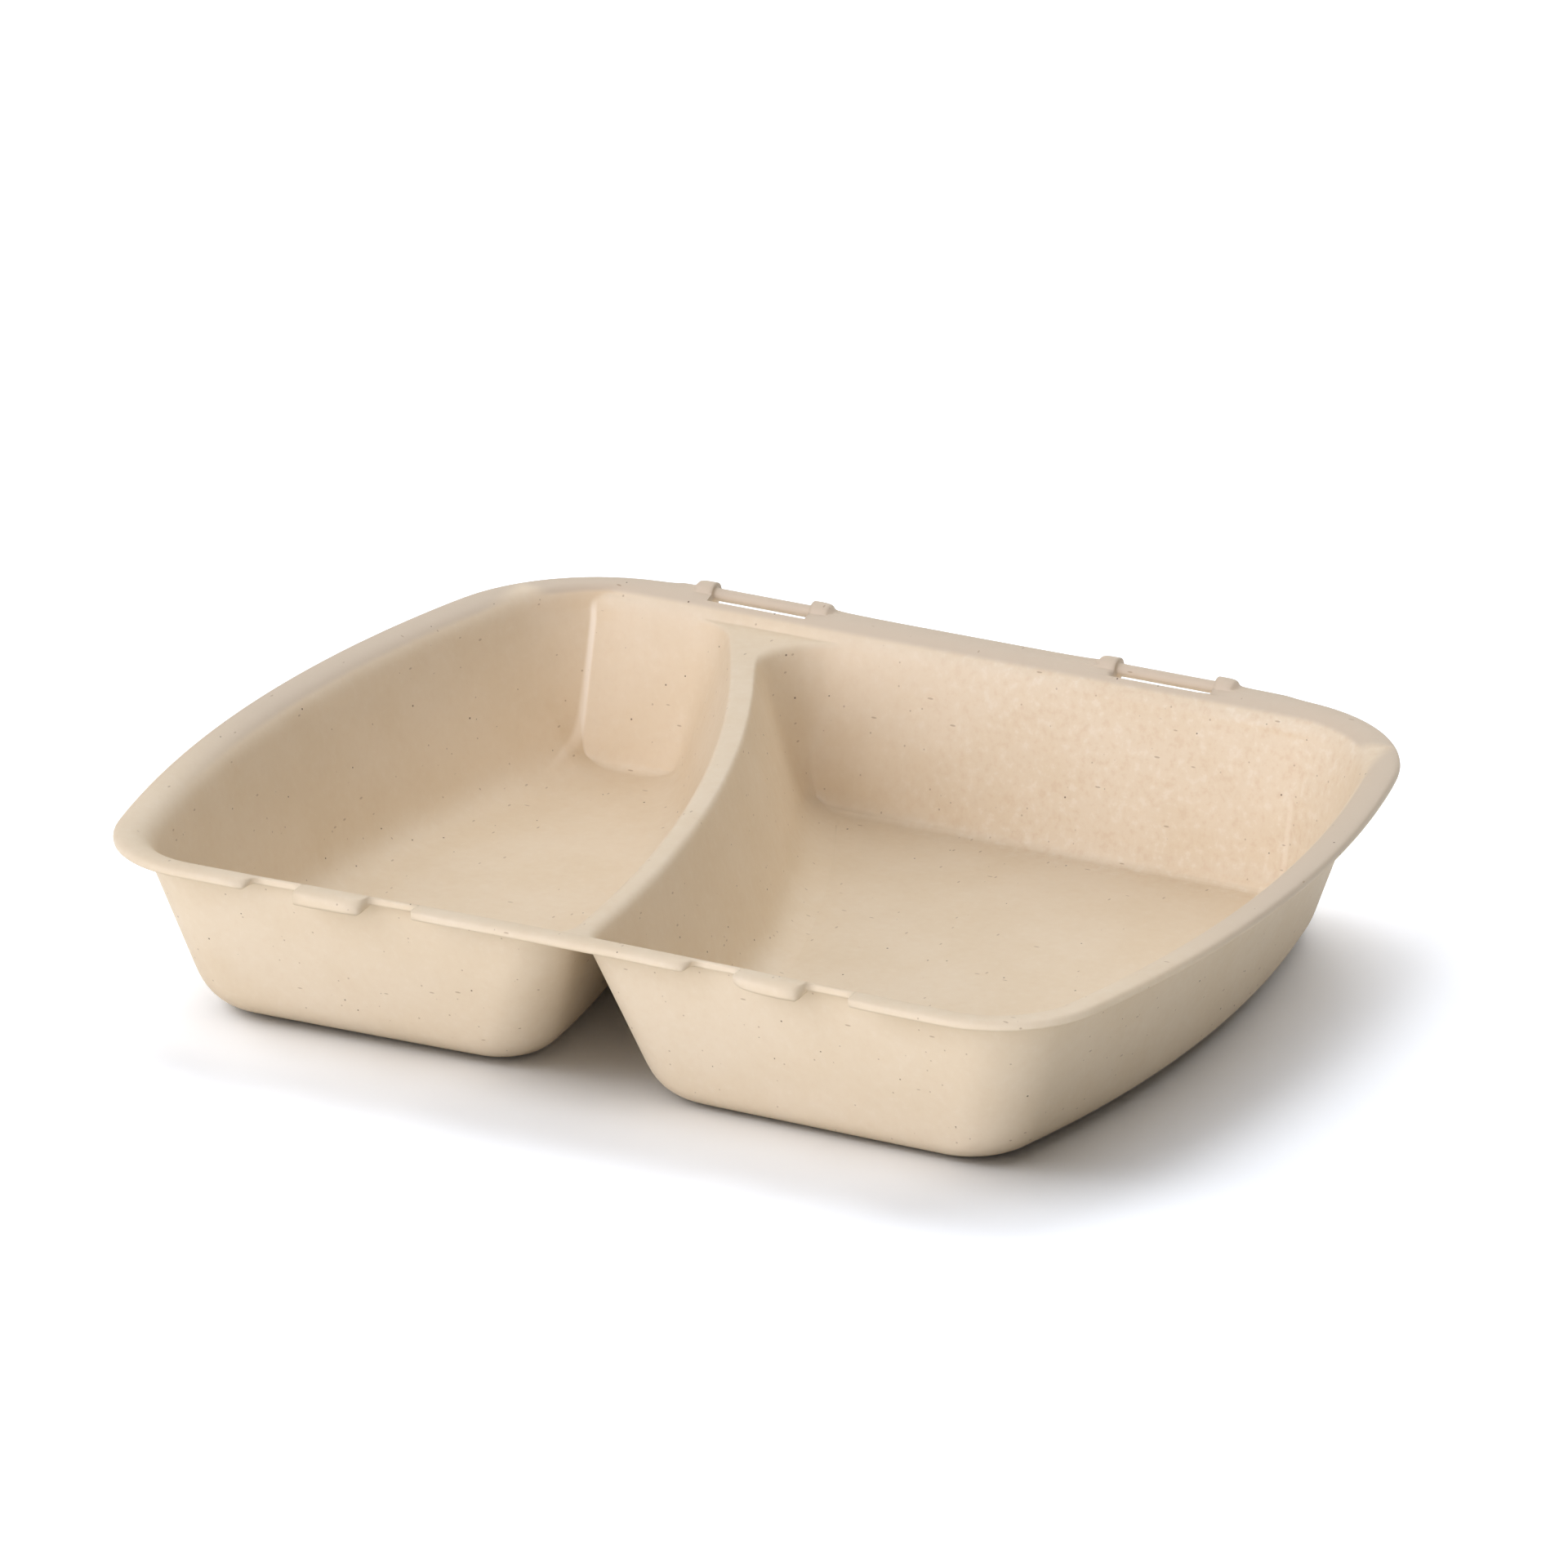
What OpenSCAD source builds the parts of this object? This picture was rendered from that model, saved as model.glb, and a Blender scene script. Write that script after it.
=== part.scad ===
// Two-compartment meal tray, the base of a hinged food container, moulded in one piece.
// Millimetres, +Z up. The origin is under the middle of the tray, on the surface it stands on.
// The front rim carries two catches for a lid and the rear rim two hinge rods.

/* [Rim] */
// Width of the rim from side to side
rim_w = 230; // [210:1:260]
// Depth of the rim from its front corners to its rear edge
rim_d = 184.6; // [170:0.1:210]
// Height of the rim's top above the table
height = 37.5; // [30:0.5:46]
// Thickness of the flange's outer edge
rim_edge = 1.9; // [1.4:0.1:2.4]
// Flat land between the flange's edge and the roll
rim_land = 2.8; // [2:0.1:3.6]
// Radius of the roll from the land down to the walls
rim_roll = 5.8; // [4.8:0.1:7]
// Plan radius of the bowed sides
side_bow = 287; // [220:1:600]
// Distance of the tray's widest line from the front edge
widest_y = 83; // [75:1:100]
// Plan radius of the rim's front corners
front_corner = 23.7; // [18:0.1:30]
// Plan radius of the rim's rear corners
rear_corner = 37.2; // [30:0.1:42]
// How far the middle of the front edge draws in
front_dip = 1.9; // [0:0.1:4]

/* [Walls] */
// Thickness of the walls, floors and divider
wall = 1.5; // [1.1:0.1:2]
// Lean of the right compartment's front wall from upright
front_lean = 15.5; // [12:0.5:20]
// Lean of the left compartment's front wall from upright
left_lean = 17; // [12:0.5:20]
// Lean of the rear wall from upright
rear_lean = 14; // [12:0.5:20]
// Lean of the side walls from upright
side_lean = 19; // [14:0.5:24]
// Lean of the divider's two faces from upright
divider_lean = 19; // [12:0.5:21]
// Radius between the front wall and the right floor
front_fillet = 5; // [3:0.5:8]
// Radius between the front wall and the left floor
left_fillet = 8; // [3:0.5:9]
// Radius between the rear wall and the floors
rear_fillet = 2.5; // [1.5:0.5:5]
// Radius between the side walls and the floors
side_fillet = 9; // [5:0.5:11]
// Radius between the divider and the floors
divider_fillet = 8; // [5:0.5:10]
// Plan radius of the outer front corners at the floor
front_foot = 12; // [10:0.5:16]
// Plan radius of the outer rear corners at the floor
rear_foot = 42; // [30:1:46]
// Distance of the crease at the left rear corner from the tray's middle
left_crease = 84.5; // [76:0.5:88]
// Distance of the crease at the right rear corner from the tray's middle
right_crease = 74.2; // [70:0.1:88]

/* [Divider] */
// Place of the divider's front end, measured from the middle of the rim
divider_x = -2.5; // [-12:0.5:8]
// Plan radius of the curved divider
divider_bow = 340; // [280:5:500]
// Drop from the rim to the divider's crest
crest_drop = 3.5; // [2.5:0.1:4.2]
// Radius of the divider's rounded crest
crest_round = 2.8; // [2.4:0.1:3.4]
// Plan radius where the divider meets the front wall, at the crest
front_root = 9; // [8:0.5:14]
// Plan radius where the divider meets the rear wall, at the crest
rear_root = 12; // [9:0.5:14]
// Plan radius where the divider meets the front wall, at the floor
front_root_foot = 11; // [9:0.5:14]
// Plan radius where the divider meets the rear wall, at the floor
rear_root_foot = 9; // [8:0.5:10]
// Angle of the crease between the divider's rear root and the rear wall
root_crease = 66; // [0:1:72]

/* [Catches] */
// Place of the line midway between the two catches
catch_x = -3; // [-8:0.1:6]
// Distance between the middles of the two catches
catch_span = 96.6; // [80:0.1:110]
// Width of the flange's relief cut around a catch
relief_w = 36; // [28:0.5:44]
// Depth of the relief cut
relief_depth = 4; // [2.9:0.1:4.4]
// Width of a catch
catch_w = 14.6; // [8:0.5:20]
// Height of a catch's front face
catch_h = 3; // [2.4:0.1:3.6]
// How far a catch stands out from the flange's edge
catch_proud = 0.6; // [0.2:0.1:1.2]

/* [Hinge] */
// Place of the line midway between the two hinge rods
hinge_x = -4.2; // [-8:0.1:6]
// Distance between the middles of the two hinge rods
hinge_span = 91; // [76:0.1:106]
// Free length of a hinge rod between its lugs
rod_length = 22; // [12:0.5:30]
// Diameter of a hinge rod
rod_d = 2.6; // [2:0.1:3]
// Width of a lug along the rod
lug_w = 3.6; // [3:0.1:5]
// Diameter of a lug
lug_d = 4.8; // [4.2:0.1:5.4]
// Length of the slope from a lug's outer end down into the rim
lug_slope = 2; // [1:0.1:4]
// Drop of the rod's middle below the rim's top
rod_drop = 0.7; // [0.4:0.1:1]
// How far the rod's middle lies inside the rim's rear edge
rod_inside = 1.2; // [0.6:0.1:1.6]
// Depth of the slot between a rod and the rim
slot_depth = 5.4; // [4.4:0.1:5.6]

/* [Hidden] */
tray_color = [0.87, 0.77, 0.65];

// Facets along each stretch of the outline and across each round
corner_steps = 9;
side_steps = 12;
rear_steps = 5;
root_steps = 6;
divider_steps = 12;
roll_steps = 5;
crest_steps = 4;
fillet_steps = 4;
// Shares of the way down a wall at which its rows of points lie, close together at both ends
wall_shares = [0, 0.12, 0.5, 0.88, 1];
// Width of the sloping flank of a relief cut
flank = 0.3;
// Narrow flat along the divider's crest
crest_flat = 0.6;
// Share of a fillet's radius by which a plan corner tightens on its way round the fillet
fillet_tuck = 0.9;
// Share of the right compartment's root crease that the left one has
left_root_share = 1 / 3;
// Largest sine of the angle at which a rear corner may meet the rear wall
crease_limit = 0.9;

rear_y = rim_d / 2;
front_y = -rim_d / 2;
bow_x = rim_w / 2 - side_bow;
bow_y = front_y + widest_y;
divider_cx = divider_x - divider_bow;
floor_drop = height - wall;
crest_middle = crest_drop + crest_round;
mouth_drop = crest_middle - crest_round * sin(divider_lean);
rod_y = rear_y - rod_inside;
lug_reach = lug_d / 2 - rod_inside;
wall_steps = len(wall_shares) - 1;
rows = wall_steps + fillet_steps;
function share_at(row) = wall_shares[min(row, wall_steps)];

function lerp(a, b, t) = a + (b - a) * t;
function reversed(list) = [for (i = [len(list) - 1:-1:0]) list[i]];

// A wall is [lean, fillet, inset of the line where it starts, drop of that line]. An inset is
// measured inwards from the rim's outer edge, or away from the middle of the divider's crest.
function rim_wall(lean, fillet) =
    [lean, fillet, rim_land + rim_roll * cos(lean), rim_roll * (1 - sin(lean))];
front_wall = rim_wall(front_lean, front_fillet);
left_front_wall = rim_wall(left_lean, left_fillet);
function front_of(m) = m > 0 ? front_wall : left_front_wall;
rear_wall = rim_wall(rear_lean, rear_fillet);
side_wall = rim_wall(side_lean, side_fillet);
divider_wall = [divider_lean, divider_fillet,
                crest_flat / 2 + crest_round * cos(divider_lean), mouth_drop];

function wall_inset(w, drop) = w[2] + (drop - w[3]) * tan(w[0]);

// Inset and drop of a wall at a row. Rows go from the mouth, level with the foot of the
// divider's rounded crest, down the wall and then round the fillet to the floor. skin moves
// the point out through the wall to the tray's under side.
function wall_point(w, row, skin) =
    let (turn = max(0, row - wall_steps) / fillet_steps,
         angle = lerp(w[0], 90, turn),
         foot = floor_drop - w[1] * (1 - sin(w[0])),
         drop = row <= wall_steps ? lerp(mouth_drop, foot, share_at(row))
                                  : floor_drop - w[1] * (1 - sin(angle)),
         middle = wall_inset(w, floor_drop) + w[1] * tan(45 - w[0] / 2),
         inset = row <= wall_steps ? wall_inset(w, drop) : middle - w[1] * cos(angle))
    [inset - skin * cos(angle), drop + skin * sin(angle)];

// Plan radius of a corner at a row: it shrinks round the fillet and grows through the wall
function corner_at(mouth_r, foot_r, fillet, row, skin) =
    let (turn = max(0, row - wall_steps) / fillet_steps)
    max(1, lerp(mouth_r, foot_r, share_at(row)) - fillet_tuck * fillet * (1 - cos(90 * turn))) + skin;

// Points round an arc on the half m, 1 for the right and -1 for the left, as [x, y, drop]
function turn(m, cx, cy, r, from, to, drop0, drop1, steps, first, last) =
    [for (i = [first:last])
        let (a = lerp(from, to, i / steps))
        [cx + m * r * cos(a), cy + r * sin(a), lerp(drop0, drop1, i / steps)]];

// The stretch of outline round one half, from xa on the front edge to xb on the rear edge,
// with f, s and b the [inset, drop] of its front, side and rear
function outer_path(m, f, s, b, front_r, rear_r, crease, xa, xb) =
    let (fy = front_y + f[0] + front_r,
         fx = bow_x + sqrt(pow(side_bow - s[0] - front_r, 2) - pow(fy - bow_y, 2)),
         ry = rear_y - b[0] - rear_r * cos(crease),
         rx = bow_x + sqrt(pow(side_bow - s[0] - rear_r, 2) - pow(ry - bow_y, 2)),
         front_turn = atan2(fy - bow_y, fx - bow_x),
         rear_turn = atan2(ry - bow_y, rx - bow_x),
         crease_x = m * (rx + rear_r * sin(crease)))
    concat(
        [for (t = front_stations(m)) [lerp(xa, m * fx, t), front_y + f[0], f[1]]],
        turn(m, m * fx, fy, front_r, -90, front_turn, f[1], s[1], corner_steps, 0, corner_steps),
        turn(m, m * bow_x, bow_y, side_bow - s[0], front_turn, rear_turn, s[1], s[1],
             side_steps, 1, side_steps - 1),
        turn(m, m * rx, ry, rear_r, rear_turn, 90 - crease, s[1], b[1], corner_steps, 0, corner_steps),
        [for (t = rear_stations) [lerp(crease_x, xb, t), rear_y - b[0], b[1]]]);

// Angle short of square at which a rear corner of radius r meets the rear wall, so that the
// crease there stands at x. It closes in on the answer over a few rounds.
crease_rounds = 6;
function crease_angle(s, b, r, x, angle, rounds) =
    rounds == 0 ? angle
    : let (ry = rear_y - b - r * cos(angle),
           rx = bow_x + sqrt(pow(side_bow - s - r, 2) - pow(ry - bow_y, 2)))
      crease_angle(s, b, r, x, asin(max(0, min(crease_limit, (x - rx) / r))), rounds - 1);
function rear_crease(m, s, b, r) = crease_angle(s, b, r, m > 0 ? right_crease : left_crease, 0, crease_rounds);

// The root circle between the divider and the front or rear wall, and where it meets the divider
function root_x(m, g, r, y) = divider_cx + sqrt(pow(divider_bow + m * (g + r), 2) - pow(y - front_y, 2));
function root_turn(m, g, r, y) = 180 + m * asin((y - front_y) / (divider_bow + m * (g + r)));

// The stretch of outline along the divider, from the rear wall to the front wall
function divider_path(m, f, b, g, front_r, rear_r, crease) =
    let (fy = front_y + f[0] + front_r,
         ry = rear_y - b[0] - rear_r * cos(crease),
         front_turn = root_turn(m, g[0], front_r, fy),
         rear_turn = root_turn(m, g[0], rear_r, ry))
    concat(
        turn(m, root_x(m, g[0], rear_r, ry), ry, rear_r, 90 + crease, rear_turn, b[1], g[1],
             root_steps, 0, root_steps),
        turn(1, divider_cx, front_y, divider_bow + m * g[0], m * (rear_turn - 180),
             m * (front_turn - 180), g[1], g[1], divider_steps, 1, divider_steps - 1),
        turn(m, root_x(m, g[0], front_r, fy), fy, front_r, front_turn, 270, g[1], f[1],
             root_steps, 0, root_steps));
function root_crease_of(m) = m > 0 ? root_crease : root_crease * left_root_share;

// One closed ring of a pan at a row, as its outer stretch and its divider stretch
function pan_parts(m, row, skin) =
    let (f = wall_point(front_of(m), row, skin),
         s = wall_point(side_wall, row, skin),
         b = wall_point(rear_wall, row, skin),
         g = wall_point(divider_wall, row, skin),
         mouth = wall_point(side_wall, 0, 0)[0],
         fr = corner_at(front_corner - mouth, front_foot, front_of(m)[1], row, skin),
         rr = corner_at(rear_corner - mouth, rear_foot, rear_fillet, row, skin),
         gf = corner_at(front_root, front_root_foot, front_of(m)[1], row, skin),
         gr = corner_at(rear_root, rear_root_foot, rear_fillet, row, skin),
         along = divider_path(m, f, b, g, gf, gr, root_crease_of(m) * share_at(row)),
         last = len(along) - 1)
    [outer_path(m, f, s, b, fr, rr, rear_crease(m, s[0], b[0], rr), along[last][0], along[0][0]),
     [for (i = [1:last - 1]) along[i]]];

// The middle of the rim's own front corners, and the mouth of the pans at the divider's two roots
rim_front_x = bow_x + sqrt(pow(side_bow - front_corner, 2) - pow(front_y + front_corner - bow_y, 2));
mouth_f = wall_point(front_wall, 0, 0);
mouth_b = wall_point(rear_wall, 0, 0);
mouth_s = wall_point(side_wall, 0, 0);
mouth_g = wall_point(divider_wall, 0, 0);
function front_root_x(m, skin) =
    let (f = wall_point(front_wall, 0, skin)[0], g = wall_point(divider_wall, 0, skin)[0],
         r = front_root + skin)
    root_x(m, g, r, front_y + f + r);
function rear_root_x(m, skin) =
    let (b = wall_point(rear_wall, 0, skin)[0], g = wall_point(divider_wall, 0, skin)[0],
         r = rear_root + skin)
    root_x(m, g, r, rear_y - b - r);

// Stations along the front and rear edges, as fractions of the stretch that they lie on. Each
// flank of a relief cut, catch or slot has a station on either side.
function flanks(middle, half) =
    [for (x = [-half, half]) each [middle + x - flank / 2, middle + x + flank / 2]];
relief_marks = flanks(catch_span / 2, relief_w / 2);
catch_marks = flanks(catch_span / 2, catch_w / 2);
front_marks = concat([relief_marks[0], relief_marks[1]], catch_marks, [relief_marks[2], relief_marks[3]]);
function station(m, mark, x0, x1) = (catch_x + m * mark - x0) / (x1 - x0);
function front_stations(m) =
    concat([0], [for (x = front_marks) station(m, x, front_root_x(m, 0), m * rim_front_x)]);
rear_stations = [for (i = [1:rear_steps]) i / rear_steps];

// Insets of the flange's outer edge at the front stations: 0 where it runs straight through
front_edge = [0, 0, relief_depth, relief_depth, -catch_proud, -catch_proud, relief_depth, relief_depth, 0];

// Drop of the lip's upper surface at an inset, and the inset at a drop
function lip_drop(w, i) =
    i <= rim_land ? 0
    : i < w[2] ? rim_roll - sqrt(pow(rim_roll, 2) - pow(i - rim_land, 2))
    : w[3] + (i - w[2]) / tan(w[0]);
function lip_inset(w, drop) =
    drop < w[3] ? rim_land + sqrt(pow(rim_roll, 2) - pow(rim_roll - drop, 2)) : wall_inset(w, drop);

// Run and rise from the divider's mouth line to a step of its rounded crest
function crest_run(k, skin) =
    (crest_round - skin) * (cos(divider_lean) - cos(lerp(divider_lean, 90, k / crest_steps)));
function crest_rise(k, skin) =
    (crest_round - skin) * (sin(lerp(divider_lean, 90, k / crest_steps)) - sin(divider_lean));

// The crest's steps at one root, from the left pan to the right one, as [x, drop]
function root_arch(left_x, right_x, skin) =
    let (base = mouth_g[1] + skin * sin(divider_lean))
    concat([for (k = [1:crest_steps]) [left_x + crest_run(k, skin), base - crest_rise(k, skin)]],
           [for (k = [crest_steps:-1:1]) [right_x - crest_run(k, skin), base - crest_rise(k, skin)]]);
front_arch = root_arch(front_root_x(-1, 0), front_root_x(1, 0), 0);
rear_arch = root_arch(rear_root_x(-1, 0), rear_root_x(1, 0), 0);
front_under_arch = root_arch(front_root_x(-1, wall), front_root_x(1, wall), wall);
rear_under_arch = root_arch(rear_root_x(-1, wall), rear_root_x(1, wall), wall);

// The lip's upper surface, a share q of the way from the flange's edge to the pans' mouth. The
// creases at the rear corners grow out of it round the roll.
function lip_path(m, q) =
    let (f = q * mouth_f[0], s = q * mouth_s[0], b = q * mouth_b[0],
         down = max(0, b - rim_land) / (mouth_b[0] - rim_land),
         crease = down * rear_crease(m, s, b, rear_corner - s),
         path = outer_path(m, [f, lip_drop(front_wall, f)], [s, lip_drop(side_wall, s)],
                           [b, lip_drop(rear_wall, b)], front_corner - s, rear_corner - s, crease,
                           front_root_x(m, 0), rear_root_x(m, 0)))
    [for (p = [0:len(path) - 1])
        p < len(front_edge) && front_edge[p] != 0
            ? let (i = lerp(front_edge[p], mouth_f[0], q)) [path[p][0], front_y + i, lip_drop(front_wall, i)]
        : path[p]];
function lip_ring(q) =
    concat(lip_path(1, q),
           [for (a = reversed(rear_arch))
               let (i = q * lip_inset(rear_wall, a[1])) [a[0], rear_y - i, lip_drop(rear_wall, i)]],
           reversed(lip_path(-1, q)),
           [for (a = front_arch)
               let (i = q * lip_inset(front_wall, a[1])) [a[0], front_y + i, lip_drop(front_wall, i)]]);
lip_shares = concat([0, rim_land / mouth_f[0]],
                    [for (k = [1:roll_steps])
                        (rim_land + rim_roll * sin(k * (90 - front_lean) / roll_steps)) / mouth_f[0]], [1]);

// The flange's lower edge, deeper at the catches
function edge_path(m) =
    let (path = lip_path(m, 0))
    [for (p = [0:len(path) - 1])
        [path[p][0], path[p][1], p < len(front_edge) && front_edge[p] < 0 ? catch_h : rim_edge]];
edge_ring = concat(edge_path(1), [for (a = reversed(rear_arch)) [a[0], rear_y, rim_edge]],
                   reversed(edge_path(-1)), [for (a = front_arch) [a[0], front_y, rim_edge]]);

// The line where the flange's under side meets the walls' outer faces, and the outer mouth
function under_inset(w, drop) = wall_inset(w, drop) - wall / cos(w[0]);
function under_path(m) =
    let (f = under_inset(front_wall, rim_edge), s = under_inset(side_wall, rim_edge),
         b = under_inset(rear_wall, rim_edge), crease = rear_crease(m, s, b, rear_corner - s))
    outer_path(m, [f, rim_edge], [s, rim_edge], [b, rim_edge], front_corner - s, rear_corner - s, crease,
               front_root_x(m, wall), rear_root_x(m, wall));
function under_arch(arch, w, y, side, drops) =
    [for (k = [0:len(arch) - 1])
        let (drop = drops ? arch[k][1] : rim_edge) [arch[k][0], y + side * under_inset(w, drop), drop]];
under_ring = concat(under_path(1), reversed(under_arch(rear_under_arch, rear_wall, rear_y, -1, false)),
                    reversed(under_path(-1)), under_arch(front_under_arch, front_wall, front_y, 1, false));
under_mouth = concat(pan_parts(1, 0, wall)[0], reversed(under_arch(rear_under_arch, rear_wall, rear_y, -1, true)),
                     reversed(pan_parts(-1, 0, wall)[0]),
                     under_arch(front_under_arch, front_wall, front_y, 1, true));

// The divider's crest between the two pans, one row of points for each station along it
function crest_rows(skin) =
    let (left = pan_parts(-1, 0, skin)[1], right = pan_parts(1, 0, skin)[1])
    [for (j = [0:len(left) - 1])
        let (a = [left[j][0], left[j][1]], b = [right[j][0], right[j][1]], e = (b - a) / norm(b - a))
        concat([for (k = [1:crest_steps])
                   let (p = a + e * crest_run(k, skin)) [p[0], p[1], left[j][2] - crest_rise(k, skin)]],
               [for (k = [crest_steps:-1:1])
                   let (p = b - e * crest_run(k, skin)) [p[0], p[1], right[j][2] - crest_rise(k, skin)]])];

// Every point of the shell, block by block: the upper rings, the under rings, and for each
// surface the divider's mouth lines, the crest and the rings of the two pans
upper = [for (q = lip_shares) lip_ring(q)];
under = [edge_ring, under_ring, under_mouth];
ring_n = len(edge_ring);
path_n = len(lip_path(1, 0));
along_n = len(pan_parts(1, 0, 0)[1]);
arch_n = 2 * crest_steps;
pan_n = path_n + along_n;
function flat(lists) = [for (list = lists) each list];
function skin_points(skin) =
    concat(pan_parts(1, 0, skin)[1], pan_parts(-1, 0, skin)[1], flat(crest_rows(skin)),
           flat([for (m = [1, -1], row = [1:rows]) flat(pan_parts(m, row, skin))]));
first_block = ring_n * (len(upper) + len(under));
block_n = 2 * along_n + along_n * arch_n + 2 * rows * pan_n;
shell_points = concat(flat(upper), flat(under), skin_points(0), skin_points(wall));

// Lists of point numbers along the same rings
function numbers(first, count) = [for (i = [0:count - 1]) first + i];
function band(row) = numbers(row * ring_n, ring_n);
function mouth_band(skin) = band(skin == 0 ? len(upper) - 1 : len(upper) + len(under) - 1);
function block(skin) = first_block + (skin == 0 ? 0 : block_n);
function mouth_outer(m, skin) =
    let (ring = mouth_band(skin))
    m > 0 ? [for (p = [0:path_n - 1]) ring[p]]
          : [for (p = [0:path_n - 1]) ring[2 * path_n + arch_n - 1 - p]];
function mouth_along(m, skin) = numbers(block(skin) + (m > 0 ? 0 : along_n), along_n);
function pan_ring(m, row, skin) =
    row == 0 ? concat(mouth_outer(m, skin), mouth_along(m, skin))
             : numbers(block(skin) + 2 * along_n + along_n * arch_n
                       + ((m > 0 ? 0 : rows) + row - 1) * pan_n, pan_n);
function crest_line(j, skin) =
    let (ring = mouth_band(skin), left = mouth_outer(-1, skin), right = mouth_outer(1, skin))
    j == 0 ? concat([left[path_n - 1]], [for (i = [arch_n - 1:-1:0]) ring[path_n + i]], [right[path_n - 1]])
    : j == along_n + 1
        ? concat([left[0]], [for (i = [0:arch_n - 1]) ring[2 * path_n + arch_n + i]], [right[0]])
    : concat([mouth_along(-1, skin)[j - 1]],
             numbers(block(skin) + 2 * along_n + (j - 1) * arch_n, arch_n),
             [mouth_along(1, skin)[j - 1]]);

// Triangles between two lines of points, closed into a ring or open, facing either way
function strip(a, b, closed, flip) =
    [for (i = [0:len(a) - (closed ? 1 : 2)])
        let (j = (i + 1) % len(a), p = flip ? [b, a] : [a, b])
        each [[p[0][i], p[0][j], p[1][j]], [p[0][i], p[1][j], p[1][i]]]];
function pan_faces(m, skin) =
    let (flip = (m > 0) == (skin == 0), floor_ring = pan_ring(m, rows, skin))
    concat(flat([for (row = [1:rows]) strip(pan_ring(m, row - 1, skin), pan_ring(m, row, skin), true, flip)]),
           [flip ? reversed(floor_ring) : floor_ring]);
function skin_faces(skin) =
    concat(pan_faces(1, skin), pan_faces(-1, skin),
           flat([for (j = [0:along_n]) strip(crest_line(j, skin), crest_line(j + 1, skin), false, skin != 0)]));
shell_faces =
    concat(flat([for (k = [1:len(upper) - 1]) strip(band(k - 1), band(k), true, true)]),
           strip(band(0), band(len(upper)), true, false),
           flat([for (k = [1:len(under) - 1])
                    strip(band(len(upper) + k - 1), band(len(upper) + k), true, false)]),
           skin_faces(0), skin_faces(wall));

// The real front edge draws in between its corners, and all that stands on it follows
function placed(p) =
    let (across = 1 - pow(min(1, abs(p[0]) / rim_front_x), 2), forward = max(0, -p[1] / rear_y))
    [p[0], p[1] + front_dip * pow(across, 2) * pow(forward, 2) - lug_reach / 2, height - p[2]];

module shell() {
    polyhedron([for (p = shell_points) placed(p)], shell_faces, convexity = 10);
}

// A rod between two lugs that grow from the rim's rear edge
module hinge(x) {
    translate([x, rod_y - lug_reach / 2, height - rod_drop])
        for (side = [-90, 90])
            rotate([0, side, 0]) {
                cylinder(d = rod_d, h = rod_length / 2 + lug_w, $fn = 48);
                translate([0, 0, rod_length / 2])
                    cylinder(d = lug_d, h = lug_w, $fn = 48);
                translate([0, 0, rod_length / 2 + lug_w])
                    cylinder(d1 = lug_d, d2 = rod_drop, h = lug_slope, $fn = 48);
            }
}

// The gap that lets a lid's clip reach round a rod
module slot(x) {
    translate([x - rod_length / 2, rear_y - lug_reach / 2 - slot_depth, height - 2 * rim_edge])
        cube([rod_length, 2 * slot_depth, 3 * rim_edge]);
}

module tray() {
    color(tray_color) {
        difference() {
            shell();
            for (side = [-1, 1])
                slot(hinge_x + side * hinge_span / 2);
        }
        for (side = [-1, 1])
            hinge(hinge_x + side * hinge_span / 2);
    }
}

tray();
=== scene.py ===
import math

import bpy
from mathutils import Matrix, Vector


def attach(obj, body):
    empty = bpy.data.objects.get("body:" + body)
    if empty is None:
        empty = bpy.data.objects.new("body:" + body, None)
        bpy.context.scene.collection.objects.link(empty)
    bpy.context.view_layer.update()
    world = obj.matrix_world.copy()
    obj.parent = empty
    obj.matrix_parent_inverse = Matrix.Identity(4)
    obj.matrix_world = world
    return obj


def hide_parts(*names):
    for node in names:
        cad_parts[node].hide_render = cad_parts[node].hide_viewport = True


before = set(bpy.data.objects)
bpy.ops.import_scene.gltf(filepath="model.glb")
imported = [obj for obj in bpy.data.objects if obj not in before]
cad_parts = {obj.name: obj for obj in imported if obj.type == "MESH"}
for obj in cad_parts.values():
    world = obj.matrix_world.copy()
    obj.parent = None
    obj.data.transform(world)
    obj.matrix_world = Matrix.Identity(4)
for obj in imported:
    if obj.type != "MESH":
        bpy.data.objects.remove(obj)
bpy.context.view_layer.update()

# The camera. The photograph was taken from the front right and above with a long lens, so that
# the tray's rims stay almost parallel. The frame is square.
CAMERA_PLACE = Vector((2.08228, -3.99577, 1.81049))
CAMERA_LOOK = Vector((-0.42978, 0.82541, -0.36603))
FILM_WIDTH = 36
LENS = 562.5
CAMERA_REACH = 50
facing = CAMERA_LOOK.to_track_quat("-Z", "Y").to_euler()
bpy.ops.object.camera_add(location=CAMERA_PLACE, rotation=facing)
camera = bpy.context.object
camera.name = "camera"
camera.data.sensor_width = FILM_WIDTH
camera.data.lens = LENS
camera.data.clip_end = CAMERA_REACH
bpy.context.scene.camera = camera


# The tray. One injection moulding in plastic filled with plant fibre: rim, walls, floors and
# hollow divider are one even skin, with the catches and hinge rods moulded on. The skin is
# copied from the solid, its triangles are joined into quads, and it is subdivided to its curves.
FLOOR_HEIGHT = 0.0015
DIVIDER_MIDDLE = -0.02
LEVEL = 0.999
SAME_HEIGHT = 1e-5
SAME_PLACE = 1e-6
RING = 0.955


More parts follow.
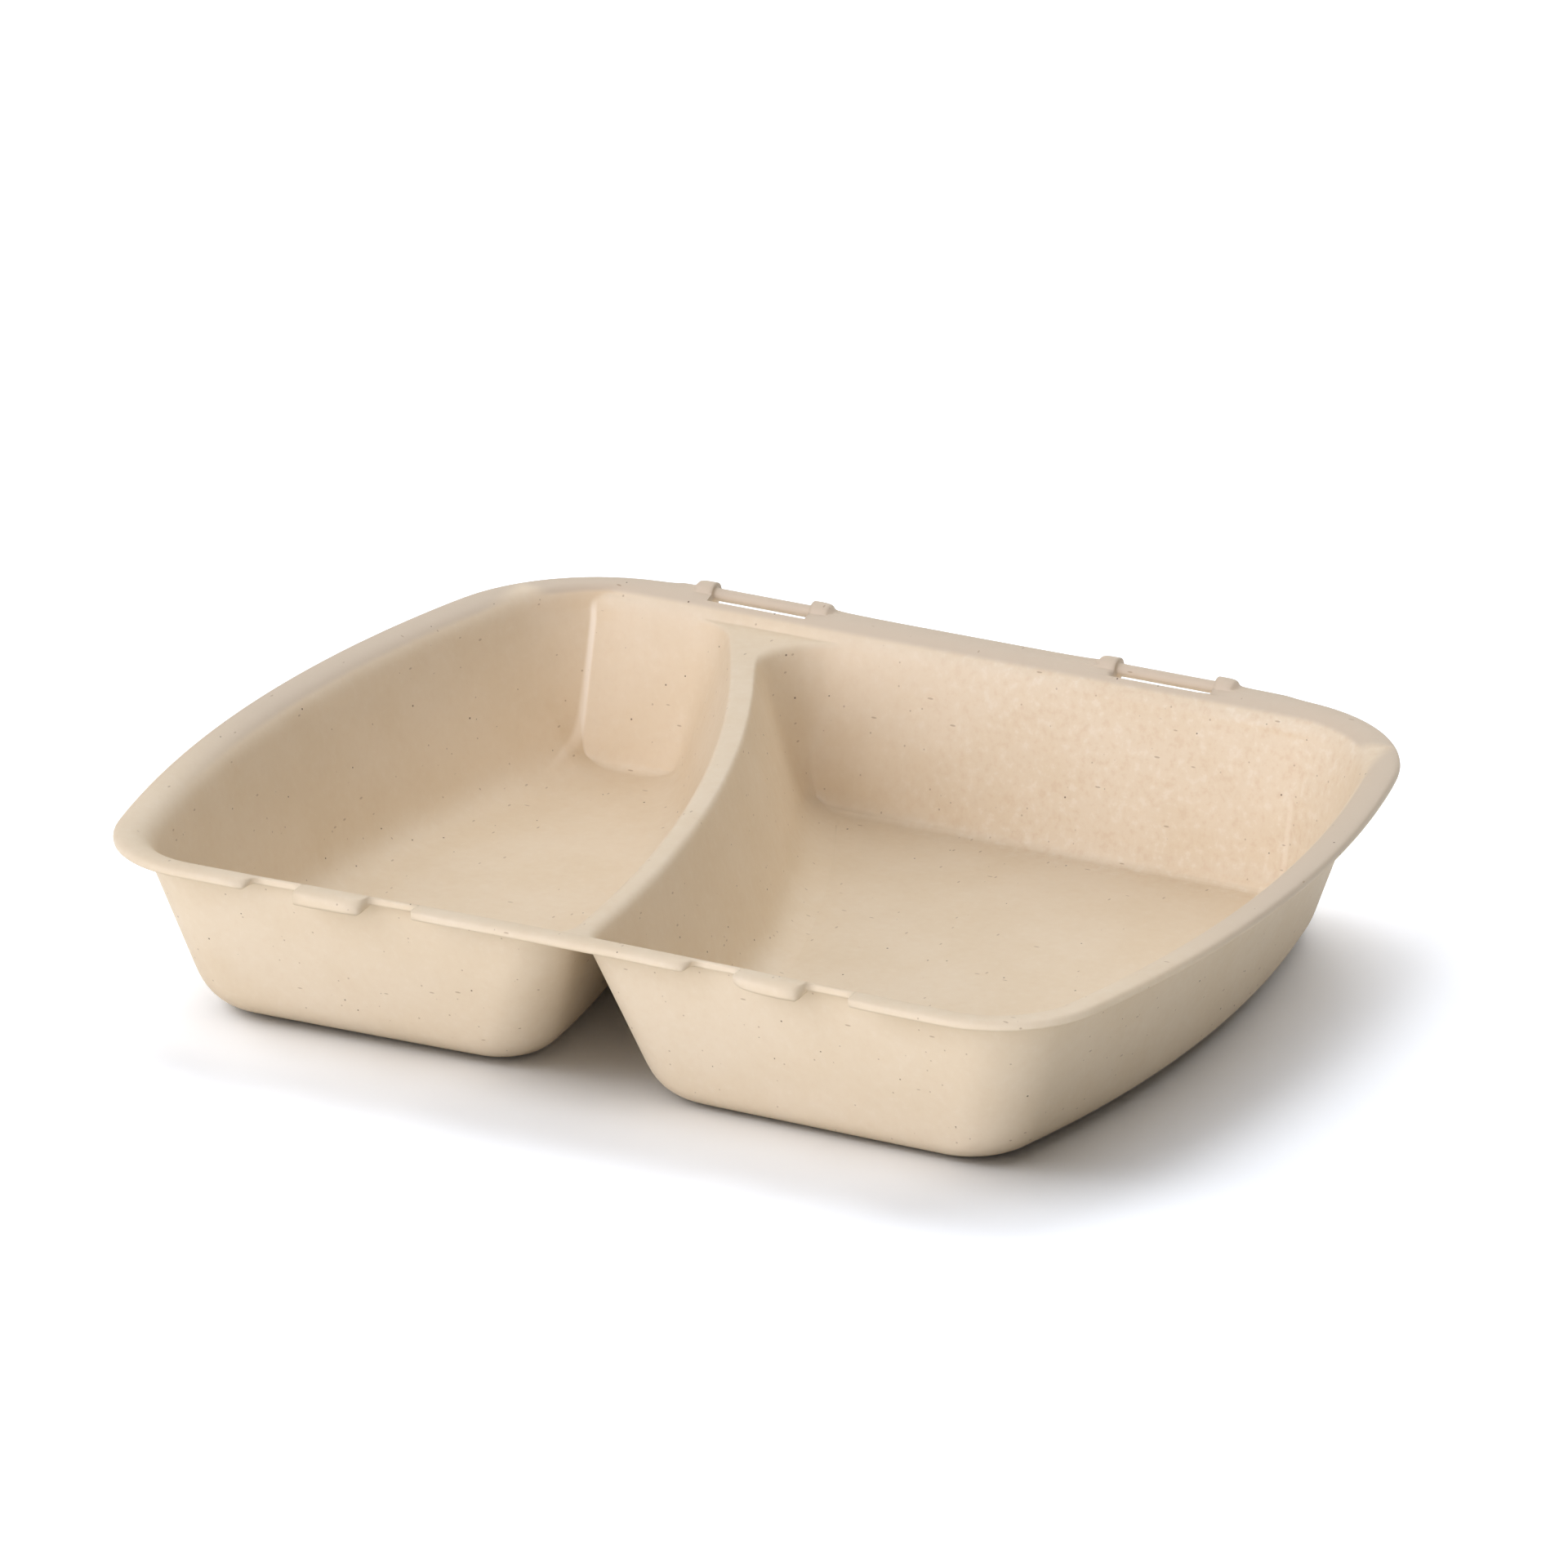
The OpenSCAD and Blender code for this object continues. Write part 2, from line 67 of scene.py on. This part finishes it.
def flat_faces(mesh, height, up, side):
    """Numbers of the level faces at a height.

    They face up (1) or down (-1), and lie left (-1) or right (1) of the divider.
    """
    return [
        p.index
        for p in mesh.polygons
        if p.normal.z * up > LEVEL
        and (p.center.x - DIVIDER_MIDDLE) * side > 0
        and all(abs(mesh.vertices[v].co.z - height) < SAME_HEIGHT for v in p.vertices)
    ]


def select_only(mesh, kind, numbers):
    """Selects these faces or edges and nothing else, and goes to edit mode."""
    bpy.ops.object.mode_set(mode="OBJECT")
    for group in (mesh.vertices, mesh.edges, mesh.polygons):
        group.foreach_set("select", [False] * len(group))
    group = mesh.polygons if kind == "FACE" else mesh.edges
    for n in numbers:
        group[n].select = True
    bpy.ops.object.mode_set(mode="EDIT")
    bpy.ops.mesh.select_mode(type=kind)


bpy.ops.object.select_all(action="DESELECT")
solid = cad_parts["tray"]
solid.select_set(True)
bpy.context.view_layer.objects.active = solid
bpy.ops.object.duplicate()
tray = bpy.context.object
tray.name = "moulded_tray"
mesh = tray.data

# Each floor becomes one face with a narrow ring round it, so that it stays flat when smoothed
bpy.ops.object.mode_set(mode="EDIT")
bpy.ops.mesh.select_all(action="SELECT")
bpy.ops.mesh.remove_doubles(threshold=SAME_PLACE)
bpy.ops.object.mode_set(mode="OBJECT")
for height, up in ((FLOOR_HEIGHT, 1), (0, -1)):
    for side in (-1, 1):
        level = flat_faces(mesh, height, up, side)
        corners = [mesh.vertices[v].co for n in level for v in mesh.polygons[n].vertices]
        middle = [(min(c[i] for c in corners) + max(c[i] for c in corners)) / 2 for i in range(3)]
        select_only(mesh, "FACE", level)
        bpy.ops.mesh.dissolve_faces()
        bpy.ops.mesh.extrude_region()
        bpy.ops.transform.resize(value=(RING, RING, 1), center_override=middle)
        bpy.ops.object.mode_set(mode="OBJECT")

# The rest of the triangles join into quads where they lie nearly in one plane
QUAD_BEND = math.radians(14)
QUAD_SKEW = math.radians(60)
bpy.ops.object.mode_set(mode="EDIT")
bpy.ops.mesh.select_all(action="SELECT")
bpy.ops.mesh.tris_convert_to_quads(face_threshold=QUAD_BEND, shape_threshold=QUAD_SKEW)
bpy.ops.object.mode_set(mode="OBJECT")

# Edges sharper than SHARP stay edges, with a small round left on them. The rim's upper edge is
# left rounder. The upright lines where the rear walls turn into their corners stay too.
SHARP = math.radians(50)
KEEP = 0.72
RIM_EDGE = (0.0372, 0.0376)
RIM_KEEP = 0.1
LINE_SHARP = math.radians(7)
LINE_KEEP = 0.7
LINE_STEP = 0.001
LINE_WIDTH = 0.0003
LEFT_LINE, RIGHT_LINE, LINES_FROM = -0.0845, 0.0742, 0.05
ROOT_LINE, ROOT_FROM = (-0.036, -0.012), 0.078
ROUNDS = 2


def sharper_than(angle):
    """For each edge of the tray, whether its faces meet at more than an angle."""
    select_only(mesh, "EDGE", [])
    bpy.ops.mesh.edges_select_sharp(sharpness=angle)
    bpy.ops.object.mode_set(mode="OBJECT")
    return [e.select for e in mesh.edges]


def on_line(ends):
    """Whether an edge runs up one of the upright lines in the rear walls."""

    def near(end):
        off_line = min(abs(end.x - LEFT_LINE), abs(end.x - RIGHT_LINE))
        at_corner = end.y > LINES_FROM and off_line < LINE_WIDTH
        at_root = end.y > ROOT_FROM and ROOT_LINE[0] < end.x < ROOT_LINE[1]
        return at_corner or at_root

    return near(ends[0]) and near(ends[1]) and abs(ends[0].z - ends[1].z) > LINE_STEP


def on_rim_edge(ends):
    """Whether an edge lies along the rim's upper outer edge, and not on a hinge lug's end."""
    level = all(RIM_EDGE[0] < end.z < RIM_EDGE[1] for end in ends)
    return level and abs(ends[0].x - ends[1].x) > SAME_HEIGHT


crease = []
for edge, sharp, bent in zip(mesh.edges, sharper_than(SHARP), sharper_than(LINE_SHARP)):
    ends = [mesh.vertices[v].co for v in edge.vertices]
    if sharp:
        crease.append(RIM_KEEP if on_rim_edge(ends) else KEEP)
    else:
        crease.append(LINE_KEEP if bent and on_line(ends) else 0.0)
mesh.attributes.new("crease_edge", "FLOAT", "EDGE").data.foreach_set("value", crease)
smooth = tray.modifiers.new("smooth", "SUBSURF")
smooth.levels = smooth.render_levels = ROUNDS
bpy.ops.object.modifier_apply(modifier="smooth")
bpy.ops.object.shade_smooth_by_angle(angle=SHARP)


class Socket:
    """A shader socket that takes part in Python arithmetic, adding Math nodes as it goes."""

    def __init__(self, tree, out):
        self.tree, self.out = tree, out

    def node(self, kind, settings, output=0, **inputs):
        return add_node(self.tree, kind, settings, output, **inputs)

    def maths(self, operation, *values):
        inputs = {f"in{i}": v for i, v in enumerate(values)}
        return self.node("ShaderNodeMath", {"operation": operation}, **inputs)

    def __add__(self, other):
        return self.maths("ADD", self, other)

    def __radd__(self, other):
        return self.maths("ADD", other, self)

    def __sub__(self, other):
        return self.maths("SUBTRACT", self, other)

    def __rsub__(self, other):
        return self.maths("SUBTRACT", other, self)

    def __mul__(self, other):
        return self.maths("MULTIPLY", self, other)

    def __rmul__(self, other):
        return self.maths("MULTIPLY", other, self)

    def __gt__(self, other):
        return self.maths("GREATER_THAN", self, other)

    def __abs__(self):
        return self.maths("ABSOLUTE", self)

    def or_more(self, other):
        """The greater of the two at each point."""
        return self.maths("MAXIMUM", self, other)

    def over(self, low, high):
        """0 up to low, 1 from high, and a soft step between them."""
        step = {"interpolation_type": "SMOOTHSTEP"}
        return self.node("ShaderNodeMapRange", step, in0=self, in1=low, in2=high, in3=0.0, in4=1.0)

    def under(self, low, high):
        """1 up to low, 0 from high, and a soft step between them."""
        return 1 - self.over(low, high)


def add_node(tree, kind, settings, output=0, **inputs):
    """Adds a node with its settings, fills its sockets by number or name, and wraps one output."""
    made = tree.nodes.new(kind)
    for name, value in settings.items():
        setattr(made, name, value)
    for name, value in inputs.items():
        numbered = name[:2] == "in" and name[2:].isdigit()
        key = int(name[2:]) if numbered else name.replace("_", " ")
        if isinstance(value, Socket):
            tree.links.new(value.out, made.inputs[key])
        else:
            made.inputs[key].default_value = value
    return Socket(tree, made.outputs[output])


def mixed(share, a, b):
    """Colour a where share is 0 and colour b where it is 1."""
    return share.node("ShaderNodeMix", {"data_type": "RGBA"}, 2, in0=share, in6=a, in7=b)


def linear(*screen):
    """A colour picked off a screen, as the numbers that the shader works in."""
    parts = [c / 255 for c in screen]
    return (*[p / 12.92 if p < 0.04045 else ((p + 0.055) / 1.055) ** 2.4 for p in parts], 1)


# The plastic is a cloudy beige, curdled on the wide rear wall, with bits of bark and fibre in it.
# The rim's top has painted shade, greyer towards the rear, and a painted highlight runs up each
# rear corner.
BEIGE = linear(226, 207, 178)
CREAM = linear(231, 214, 188)
TAN = linear(216, 188, 157)
MILK = linear(240, 228, 209)
BARK = linear(150, 118, 88)
SOOT = linear(92, 66, 44)
# Painted shade on the rim's top
RIM_PAINTED_SHADE = linear(206, 189, 167)
# Painted highlight along the rear corners' creases
PAINTED_HIGHLIGHT = linear(252, 240, 222)
CURD_SHARE, REAR_CURD_SHARE = 0.1, 0.3

# Where each change over the tray starts and where it is full
REAR_WALL = (0.066, 0.078)
RIGHT_PAN = (-0.03, 0.02)
RIM_TOP = (0.0355, 0.0365)
RIM_SIDES = (0.096, 0.1)
RIM_REARWARDS = (-0.07, 0)
REAR_BEFORE_SIDES = 0.022
LINE_EDGE = (0.0002, 0.0009)
CORNER_REAR = (0.05, 0.056)
CORNER_FOOT = (0.003, 0.008)
LEFT_LINE_END = (0.031, 0.035)
RIGHT_LINE_END = (0.014, 0.026)

plastic = bpy.data.materials.new("fibre_filled_plastic")
plastic.use_nodes = True
tree = plastic.node_tree
shader = tree.nodes["Principled BSDF"]
place = add_node(tree, "ShaderNodeTexCoord", {}, output="Object")
across, along, height = [
    place.node("ShaderNodeSeparateXYZ", {}, axis, in0=place) for axis in ("X", "Y", "Z")
]


def noise(scale, detail, roughness=0.55):
    """A cloudy pattern with this many clouds per metre."""
    clouds = {"Scale": scale, "Detail": detail, "Roughness": roughness}
    return place.node("ShaderNodeTexNoise", {}, in0=place, **clouds)


def flecks(cells, stretch, turn, radius, share):
    """A mask of small flecks, by cells per metre, stretch, turn, radius and share of full cells."""
    scale = [cells * s for s in stretch]
    spot = place.node("ShaderNodeMapping", {"vector_type": "POINT"}, in0=place, in2=turn, in3=scale)
    distance = spot.node("ShaderNodeTexVoronoi", {}, "Distance", Vector=spot, Scale=1.0)
    dice = Socket(tree, distance.out.node.outputs["Color"])
    pick = dice.node("ShaderNodeSeparateColor", {}, in0=dice)
    return distance.under(radius * 0.6, radius) * (pick > 1 - share)


clouds = noise(45, 3)
curd = noise(520, 3, 0.6)
grain = noise(1500, 2)
curdled = CURD_SHARE + along.over(*REAR_WALL) * across.over(*RIGHT_PAN) * REAR_CURD_SHARE
color = mixed(clouds.over(0.35, 0.65) * 0.6, BEIGE, CREAM)
color = mixed(curd.over(0.5, 0.7) * curdled, color, TAN)
color = mixed(curd.under(0.3, 0.48) * curdled, color, MILK)

# Painted shade: the rim's top is made greyer towards the rear and at the sides
outermost = abs(across).or_more(abs(along) + REAR_BEFORE_SIDES)
rim = height.over(*RIM_TOP) * outermost.over(*RIM_SIDES) * along.over(*RIM_REARWARDS)
color = mixed(rim * 0.9, color, RIM_PAINTED_SHADE)

# Painted highlight: a pale line up each rear corner's crease, fainter on the right
corner = along.over(*CORNER_REAR) * height.over(*CORNER_FOOT)
left_painted_highlight = abs(across - LEFT_LINE).under(*LINE_EDGE) * corner * height.under(*LEFT_LINE_END)
right_painted_highlight = abs(across - RIGHT_LINE).under(*LINE_EDGE) * corner * height.under(*RIGHT_LINE_END)
color = mixed(left_painted_highlight * 0.75 + right_painted_highlight * 0.25, color, PAINTED_HIGHLIGHT)

faint = flecks(cells=330, stretch=(1, 0.4, 1), turn=(0.3, 0.1, 0.7), radius=0.085, share=0.9)
fibres = flecks(cells=300, stretch=(0.3, 1, 1), turn=(0.2, 0.5, 0.35), radius=0.07, share=0.85)
specks = flecks(cells=260, stretch=(1, 0.8, 1), turn=(0.3, 0.6, 0.2), radius=0.062, share=0.5)
color = mixed(faint * 0.45, color, BARK)
color = mixed(fibres * 0.5, color, BARK)
color = mixed(specks * 0.85, color, SOOT)
tree.links.new(color.out, shader.inputs["Base Color"])

gloss = 0.52 + curd * 0.12 + specks * 0.15
tree.links.new(gloss.out, shader.inputs["Roughness"])
shader.inputs["IOR"].default_value = 1.46
relief = grain * 0.35 + curd * 0.65
bump = relief.node("ShaderNodeBump", {}, Strength=0.12, Distance=0.0002, Height=relief)
tree.links.new(bump.out, shader.inputs["Normal"])
tray.data.materials.clear()
tray.data.materials.append(plastic)
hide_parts("tray")
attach(tray, "root")


# The studio. A white sheet under the tray that runs out past the camera's view, and white all
# round: what the camera sees of the sheet is lifted to white, so that only the shadow shows.
SHEET_SIZE = 60
SHEET_DROP = 0.0001
SHEET_GREY = (0.74, 0.74, 0.74, 1)
SHEET_SEEN = (1.14, 1.18, 1.26, 1)
SKY_LIGHT = 0.04


def seen(tree):
    """1 for what the camera sees, straight or in a reflection, and 0 for light on other things."""
    rays = add_node(tree, "ShaderNodeLightPath", {}, output="Is Camera Ray")
    outputs = rays.out.node.outputs
    for name in ("Is Glossy Ray", "Is Transmission Ray"):
        rays = rays.or_more(Socket(tree, outputs[name]))
    return rays


bpy.ops.object.select_all(action="DESELECT")
bpy.ops.mesh.primitive_plane_add(size=SHEET_SIZE, location=(0, 0, -SHEET_DROP))
floor = bpy.context.object
floor.name = "studio_floor"
sheet = bpy.data.materials.new("white_sheet")
sheet.use_nodes = True
sheet_shader = sheet.node_tree.nodes["Principled BSDF"]
shade = mixed(seen(sheet.node_tree), SHEET_GREY, SHEET_SEEN)
sheet.node_tree.links.new(shade.out, sheet_shader.inputs["Base Color"])
sheet_shader.inputs["Roughness"].default_value = 1.0
sheet_shader.inputs["Specular IOR Level"].default_value = 0.0
floor.data.materials.append(sheet)

world = bpy.data.worlds.new("studio")
bpy.context.scene.world = world
world.use_nodes = True
sky = world.node_tree.nodes["Background"]
sky.inputs["Color"].default_value = (1, 1, 1, 1)
strength = seen(world.node_tree) * (1 - SKY_LIGHT) + SKY_LIGHT
world.node_tree.links.new(strength.out, sky.inputs["Strength"])


# The lamps. All are wide and soft: one high up behind the tray and one overhead, cool ones low
# in front that light the tray and not the sheet, and three that light only the sheet.
COOL = (0.98, 0.99, 1.09)
WHITE = (1, 1, 1)


def soft_lamp(name, side, height, strength, width=60, only=None, tint=WHITE):
    """A far lamp at a side, in degrees round from the right, and a height over the sheet."""
    side, height = math.radians(side), math.radians(height)
    level = math.cos(height)
    place = Vector((math.cos(side) * level, math.sin(side) * level, math.sin(height)))
    aim = place.to_track_quat("Z", "Y").to_euler()
    bpy.ops.object.light_add(type="SUN", location=place, rotation=aim)
    lamp = bpy.context.object
    lamp.name = name
    lamp.data.energy = strength
    lamp.data.angle = math.radians(width)
    lamp.data.color = tint
    if only:
        lit = bpy.data.collections.new(f"{name}_lights")
        lit.objects.link(only)
        lamp.light_linking.receiver_collection = lit


soft_lamp("rear_lamp", side=90, height=50, strength=1.51)
soft_lamp("top_lamp", side=0, height=90, strength=0.26)
soft_lamp("front_left_lamp", side=240, height=20, strength=1.69, only=tray, tint=COOL)
soft_lamp("front_lamp", side=270, height=30, strength=0.72, only=tray, tint=COOL)
soft_lamp("front_right_lamp", side=300, height=20, strength=0.57, only=tray, tint=COOL)
soft_lamp("sheet_left_lamp", side=180, height=25, strength=2.2, only=floor)
soft_lamp("sheet_front_lamp", side=225, height=60, strength=0.7, width=40, only=floor)
soft_lamp("sheet_rear_lamp", side=120, height=50, strength=0.9, width=40, only=floor)
bpy.context.scene.view_settings.view_transform = "Standard"
